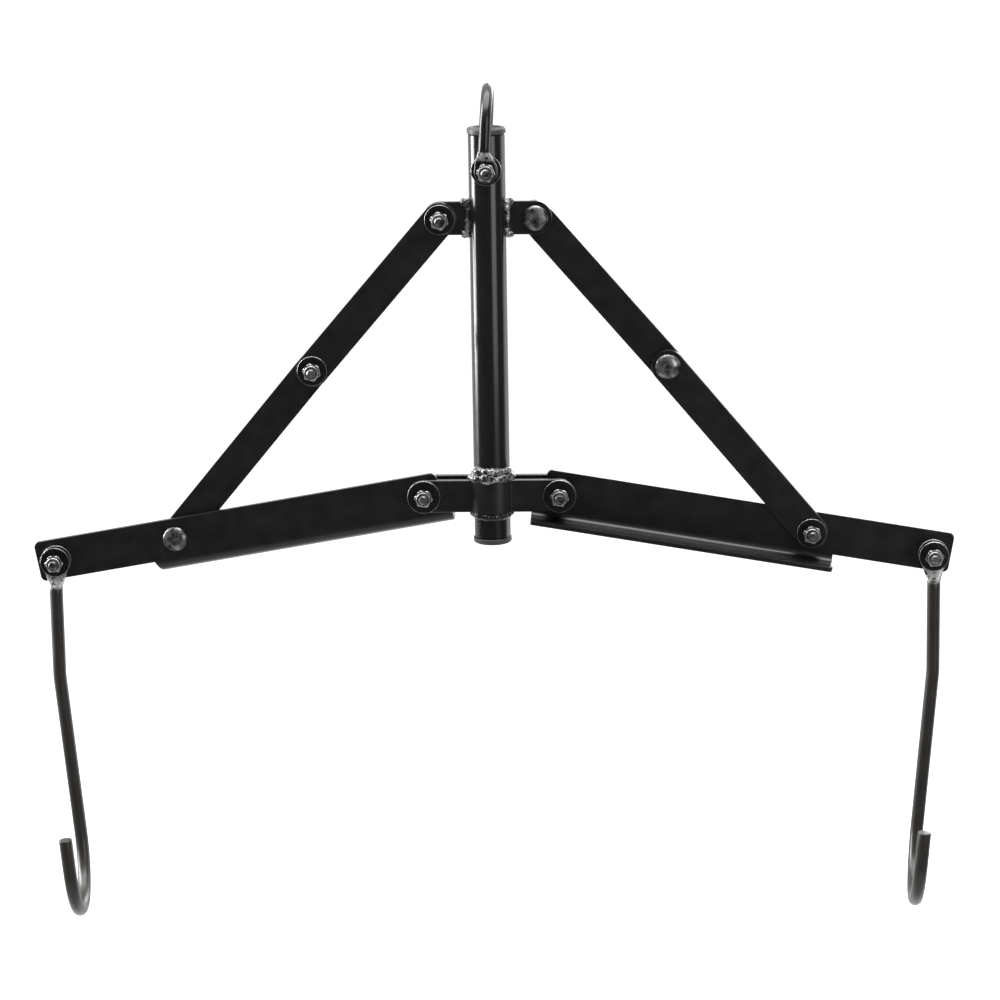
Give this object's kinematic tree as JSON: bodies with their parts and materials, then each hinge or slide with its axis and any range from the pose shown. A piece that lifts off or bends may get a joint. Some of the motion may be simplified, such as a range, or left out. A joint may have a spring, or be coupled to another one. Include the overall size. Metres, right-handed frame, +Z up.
{
  "type": "bicycle hanging rack",
  "caption": "Folding steel rack: an upright tube with a top hook, two strut-stayed flat arms that fold up, and a long J hook on each arm end that cradles a bicycle top tube.",
  "frame": {"origin": "inside top of the top hook, where the rack hangs", "axes": "+X to the rack's right seen from the front, along the arms; +Y to the back, away from the open hooks; +Z up along the centre tube"},
  "size_m": [0.5606, 0.1156, 0.5003],
  "materials": {
    "bar_paint": "semi-gloss black paint",
    "rod_paint": "satin black paint",
    "black_zinc": "black zinc plated",
    "cap_plastic": "moulded black plastic"
  },
  "bodies": {
    "top_hook": {"top_hook": "rod_paint"},
    "frame": {"centre_tube": "bar_paint", "top_cap": "cap_plastic", "bottom_cap": "cap_plastic", "rear_strap": "bar_paint", "front_strap": "bar_paint", "right_lug": "bar_paint", "right_lug_bolt": "black_zinc", "right_lug_washer": "black_zinc", "right_lug_nut": "black_zinc", "right_hub_spacer": "black_zinc", "left_lug": "bar_paint", "left_lug_bolt": "black_zinc", "left_lug_washer": "black_zinc", "left_lug_nut": "black_zinc", "left_hub_spacer": "black_zinc", "right_hub_bolt": "black_zinc", "right_hub_washer": "black_zinc", "right_hub_nut": "black_zinc", "left_hub_bolt": "black_zinc", "left_hub_washer": "black_zinc", "left_hub_nut": "black_zinc", "top_bolt": "black_zinc", "top_washer": "black_zinc", "top_nut": "black_zinc"},
    "right_arm": {"right_arm": "bar_paint", "right_strut_bolt": "black_zinc", "right_strut_washer": "black_zinc", "right_strut_nut": "black_zinc", "right_hook_bolt": "black_zinc", "right_hook_back_washer": "black_zinc", "right_hook_washer": "black_zinc", "right_hook_nut": "black_zinc", "right_hook_spacer": "black_zinc"},
    "right_upper_link": {"right_upper_link": "bar_paint", "right_elbow_stud": "black_zinc", "right_elbow_washer": "black_zinc", "right_elbow_nut": "black_zinc"},
    "right_lower_link": {"right_lower_link": "bar_paint", "right_elbow_bolt": "black_zinc"},
    "right_hook": {"right_hook": "rod_paint"},
    "left_arm": {"left_arm": "bar_paint", "left_strut_bolt": "black_zinc", "left_strut_washer": "black_zinc", "left_strut_nut": "black_zinc", "left_hook_bolt": "black_zinc", "left_hook_back_washer": "black_zinc", "left_hook_washer": "black_zinc", "left_hook_nut": "black_zinc"},
    "left_upper_link": {"left_upper_link": "bar_paint", "left_elbow_stud": "black_zinc", "left_elbow_washer": "black_zinc", "left_elbow_nut": "black_zinc"},
    "left_lower_link": {"left_lower_link": "bar_paint", "left_elbow_bolt": "black_zinc"},
    "left_hook": {"left_hook": "rod_paint"}
  },
  "joints": [
    {"name": "frame_swing", "type": "hinge", "parent": "top_hook", "child": "frame", "pos_m": [-0.0009, 0.006, -0.04252], "axis": [0, 1, 0], "range_deg": [-35, 35]},
    {"name": "right_arm_fold", "type": "hinge", "parent": "frame", "child": "right_arm", "pos_m": [0.0402, -0.002, -0.24112], "axis": [0, -1, 0], "range_deg": [0, 80]},
    {"name": "right_upper_link_turn", "type": "hinge", "parent": "frame", "child": "right_upper_link", "pos_m": [0.0275, -0.002, -0.07242], "axis": [0, -1, 0], "range_deg": [0, 117]},
    {"name": "right_lower_link_turn", "type": "hinge", "parent": "right_arm", "child": "right_lower_link", "pos_m": [0.19279, -0.0053, -0.26721], "axis": [0, 1, 0], "range_deg": [0, 111.7]},
    {"name": "right_hook_swing", "type": "hinge", "parent": "right_arm", "child": "right_hook", "pos_m": [0.26603, -0.0123, -0.27973], "axis": [0, 1, 0], "range_deg": [-90, 75]},
    {"name": "left_arm_fold", "type": "hinge", "parent": "frame", "child": "left_arm", "pos_m": [-0.042, -0.0086, -0.24112], "axis": [0, 1, 0], "range_deg": [0, 80]},
    {"name": "left_upper_link_turn", "type": "hinge", "parent": "frame", "child": "left_upper_link", "pos_m": [-0.0293, -0.0086, -0.07242], "axis": [0, 1, 0], "range_deg": [0, 117]},
    {"name": "left_lower_link_turn", "type": "hinge", "parent": "left_arm", "child": "left_lower_link", "pos_m": [-0.19458, -0.0053, -0.26721], "axis": [0, -1, 0], "range_deg": [0, 111.7]},
    {"name": "left_hook_swing", "type": "hinge", "parent": "left_arm", "child": "left_hook", "pos_m": [-0.26782, -0.0123, -0.27973], "axis": [0, -1, 0], "range_deg": [-90, 75]}
  ],
  "couplings": [
    {"joint": "right_upper_link_turn", "follows": "right_arm_fold", "ratio": 1.4624},
    {"joint": "right_lower_link_turn", "follows": "right_arm_fold", "ratio": 1.3951},
    {"joint": "left_upper_link_turn", "follows": "left_arm_fold", "ratio": 1.4624},
    {"joint": "left_lower_link_turn", "follows": "left_arm_fold", "ratio": 1.3951}
  ]
}
